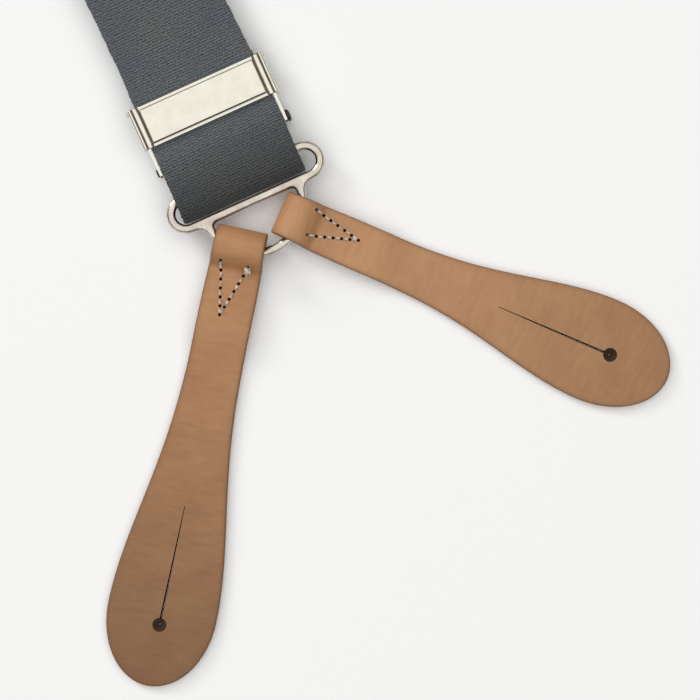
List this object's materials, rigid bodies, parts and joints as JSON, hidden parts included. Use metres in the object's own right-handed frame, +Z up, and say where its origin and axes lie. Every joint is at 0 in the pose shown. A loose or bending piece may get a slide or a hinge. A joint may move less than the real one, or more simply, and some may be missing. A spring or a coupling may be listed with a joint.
{
  "type": "button-tab suspenders",
  "caption": "Suspenders laid flat: wide webbing straps with slide adjusters and a leather yoke, each end with a metal ring and two leather tabs that fit over trouser buttons.",
  "frame": {"origin": "on the surface the pair lies on, under the middle of its outline", "axes": "+Y from the front ends to the back end, +X to the wearer's right strap as drawn, +Z up from the surface"},
  "size_m": [0.8554, 1.0416, 0.0109],
  "materials": {
    "webbing": "matt elastic webbing in slate grey with fine cross ribs",
    "leather": "natural vegetable-tanned leather, satin grain, cut edges",
    "cast_nickel": "cast, tumbled and nickel plated, satin",
    "pressed_nickel": "pressed sheet, nickel plated, bright",
    "black_bar": "black enamel, satin",
    "tab_thread": "waxed off-white thread",
    "strap_thread": "dark grey polyester thread"
  },
  "bodies": {
    "straps": {"right_front_strap": "webbing", "right_strap_end_stitching": "strap_thread", "left_front_strap": "webbing", "left_strap_end_stitching": "strap_thread", "back_strap": "webbing", "back_strap_stitching": "strap_thread", "yoke_front": "leather", "yoke_backing": "leather", "yoke_stitching": "tab_thread"},
    "right_adjuster": {"right_adjuster_lever": "pressed_nickel", "right_adjuster_crossbar": "black_bar", "right_adjuster_rivet_a": "pressed_nickel", "right_adjuster_rivet_b": "pressed_nickel"},
    "right_adjuster_plate": {"right_adjuster_plate": "pressed_nickel"},
    "right_ring": {"right_ring": "cast_nickel"},
    "right_inner_tab": {"right_inner_tab": "leather", "right_inner_tab_thread": "tab_thread"},
    "right_outer_tab": {"right_outer_tab": "leather", "right_outer_tab_thread": "tab_thread"},
    "left_adjuster": {"left_adjuster_lever": "pressed_nickel", "left_adjuster_crossbar": "black_bar", "left_adjuster_rivet_a": "pressed_nickel", "left_adjuster_rivet_b": "pressed_nickel"},
    "left_adjuster_plate": {"left_adjuster_plate": "pressed_nickel"},
    "left_ring": {"left_ring": "cast_nickel"},
    "left_inner_tab": {"left_inner_tab": "leather", "left_inner_tab_thread": "tab_thread"},
    "left_outer_tab": {"left_outer_tab": "leather", "left_outer_tab_thread": "tab_thread"},
    "back_ring": {"back_ring": "cast_nickel"},
    "back_left_tab": {"back_left_tab": "leather", "back_left_tab_thread": "tab_thread"},
    "back_right_tab": {"back_right_tab": "leather", "back_right_tab_thread": "tab_thread"}
  },
  "joints": [
    {"name": "right_adjuster_slide", "type": "slide", "parent": "straps", "child": "right_adjuster", "axis": [-0.4115, 0.9114, 0], "range_m": [0, 0.1], "deforming": ["right_front_strap"]},
    {"name": "right_plate_opening", "type": "hinge", "parent": "right_adjuster", "child": "right_adjuster_plate", "pos_m": [0.29069, -0.34739, 0.00597], "axis": [-0.9114, -0.4115, 0], "range_deg": [0, 50]},
    {"name": "right_ring_tilt", "type": "hinge", "parent": "straps", "child": "right_ring", "pos_m": [0.30329, -0.37286, 0.00547], "axis": [-0.9114, -0.4115, 0], "range_deg": [0, 90]},
    {"name": "right_inner_tab_swing", "type": "hinge", "parent": "right_ring", "child": "right_inner_tab", "pos_m": [0.30342, -0.3939, 0.00547], "axis": [-0.9778, 0.2096, 0], "range_deg": [0, 80]},
    {"name": "right_outer_tab_swing", "type": "hinge", "parent": "right_ring", "child": "right_outer_tab", "pos_m": [0.31972, -0.38599, 0.00547], "axis": [-0.3955, -0.9184, 0], "range_deg": [0, 80]},
    {"name": "left_adjuster_slide", "type": "slide", "parent": "straps", "child": "left_adjuster", "axis": [0.4115, 0.9114, 0], "range_m": [0, 0.1], "deforming": ["left_front_strap"]},
    {"name": "left_plate_opening", "type": "hinge", "parent": "left_adjuster", "child": "left_adjuster_plate", "pos_m": [-0.29069, -0.34739, 0.00597], "axis": [-0.9114, 0.4115, 0], "range_deg": [0, 50]},
    {"name": "left_ring_tilt", "type": "hinge", "parent": "straps", "child": "left_ring", "pos_m": [-0.30329, -0.37286, 0.00547], "axis": [-0.9114, 0.4115, 0], "range_deg": [0, 90]},
    {"name": "left_inner_tab_swing", "type": "hinge", "parent": "left_ring", "child": "left_inner_tab", "pos_m": [-0.30342, -0.3939, 0.00547], "axis": [-0.9778, -0.2096, 0], "range_deg": [0, 80]},
    {"name": "left_outer_tab_swing", "type": "hinge", "parent": "left_ring", "child": "left_outer_tab", "pos_m": [-0.31972, -0.38599, 0.00547], "axis": [-0.3955, 0.9184, 0], "range_deg": [0, 80]},
    {"name": "back_ring_tilt", "type": "hinge", "parent": "straps", "child": "back_ring", "pos_m": [0, 0.41299, 0.00547], "axis": [1, 0, 0], "range_deg": [0, 90]},
    {"name": "back_left_tab_swing", "type": "hinge", "parent": "back_ring", "child": "back_left_tab", "pos_m": [-0.00957, 0.43171, 0.00547], "axis": [0.7385, 0.6743, 0], "range_deg": [0, 80]},
    {"name": "back_right_tab_swing", "type": "hinge", "parent": "back_ring", "child": "back_right_tab", "pos_m": [0.00957, 0.43171, 0.00547], "axis": [0.7385, -0.6743, 0], "range_deg": [0, 80]}
  ]
}
